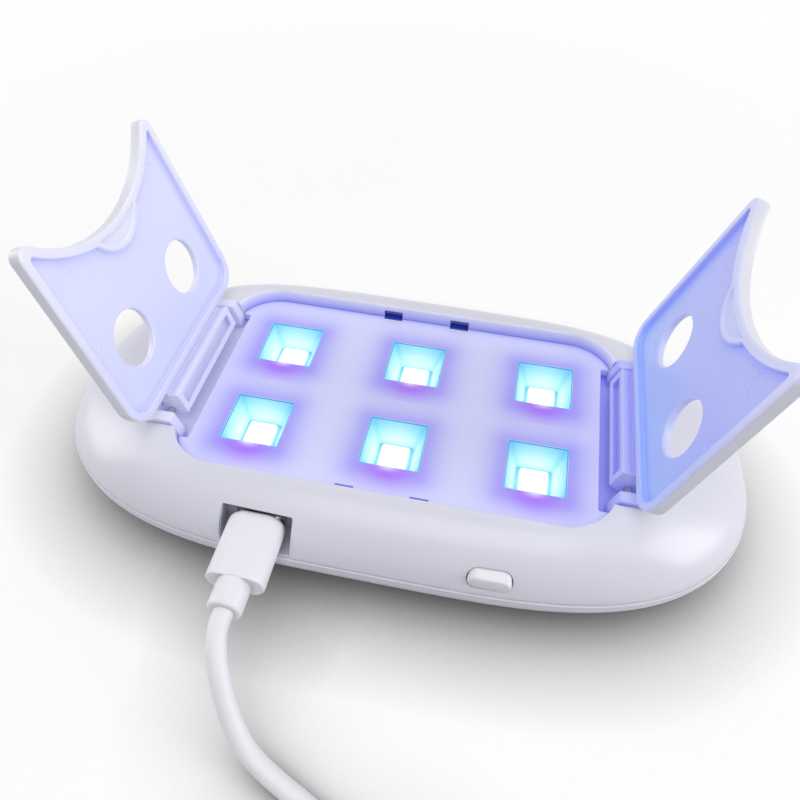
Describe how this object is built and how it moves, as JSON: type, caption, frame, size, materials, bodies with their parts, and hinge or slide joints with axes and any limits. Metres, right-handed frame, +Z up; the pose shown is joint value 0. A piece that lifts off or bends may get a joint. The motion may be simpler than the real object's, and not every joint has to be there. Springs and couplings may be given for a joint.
{
  "type": "mini nail lamp",
  "caption": "Oval LED lamp for curing nail gel, with lit pockets in a shallow recess, folding leg plates, a side button and a plugged-in USB lead.",
  "frame": {"origin": "on the floor, under the middle of the body", "axes": "+X along the body to the right, +Y to the back away from the lead and the button, +Z up"},
  "size_m": [0.135, 0.1664, 0.059],
  "materials": {
    "housing_plastic": "white ABS, moulded with a soft gloss",
    "panel_plastic": "white ABS, moulded smooth",
    "cover_plastic": "white ABS, moulded with a soft gloss",
    "leg_plastic": "milky white ABS, moulded with a soft gloss",
    "button_plastic": "white ABS, polished",
    "plug_plastic": "white thermoplastic elastomer, smooth satin",
    "cord_jacket": "white thermoplastic elastomer, satin",
    "tie_plastic": "black coated tie",
    "board": "white solder mask on glass-fibre board",
    "led_package": "white moulded LED cup",
    "led_lens": "clear silicone, lit violet-white",
    "chip_epoxy": "black moulding compound",
    "resistor_film": "glazed black film",
    "capacitor_ceramic": "tan ceramic",
    "nickel_steel": "nickel-plated drawn steel",
    "tongue_plastic": "black glass-filled nylon",
    "spring_metal": "stainless spring strip",
    "plunger_plastic": "white nylon",
    "screw_steel": "zinc-plated steel",
    "pin_steel": "ground steel wire"
  },
  "bodies": {
    "base": {"led_housing": "housing_plastic", "led_panel": "panel_plastic", "reflector_cups": "panel_plastic", "back_cover": "cover_plastic", "led_board": "board", "led_packages": "led_package", "led_lenses": "led_lens", "timer_chip": "chip_epoxy", "driver_transistor": "chip_epoxy", "current_resistors": "resistor_film", "input_capacitor": "capacitor_ceramic", "protection_diode": "chip_epoxy", "usb_socket_shell": "nickel_steel", "usb_socket_tongue": "tongue_plastic", "switch_body": "tongue_plastic", "switch_cover": "nickel_steel", "switch_dome": "spring_metal", "case_screws": "screw_steel", "left_hinge_pins": "pin_steel", "right_hinge_pins": "pin_steel", "plug_body": "plug_plastic", "plug_collar": "plug_plastic", "plug_shell": "nickel_steel", "cord_run": "cord_jacket", "cord_coil": "cord_jacket", "cord_tail": "cord_jacket", "cord_tie": "tie_plastic", "charger_plug_body": "plug_plastic", "charger_plug_relief": "plug_plastic", "charger_plug_shell": "nickel_steel", "charger_plug_tongue": "plunger_plastic"},
    "left_leg": {"left_leg": "leg_plastic"},
    "right_leg": {"right_leg": "leg_plastic"},
    "power_button": {"button_cap": "button_plastic", "switch_plunger": "plunger_plastic"}
  },
  "joints": [
    {"name": "left_leg_fold", "type": "hinge", "parent": "base", "child": "left_leg", "pos_m": [-0.0427, 0, 0.019], "axis": [0, 1, 0], "range_deg": [0, 107.5]},
    {"name": "right_leg_fold", "type": "hinge", "parent": "base", "child": "right_leg", "pos_m": [0.0427, 0, 0.019], "axis": [0, -1, 0], "range_deg": [0, 107.5]},
    {"name": "power_button_press", "type": "slide", "parent": "base", "child": "power_button", "axis": [0, 1, 0], "range_m": [0, 0.00035], "stiffness_N_per_m": 4000}
  ]
}
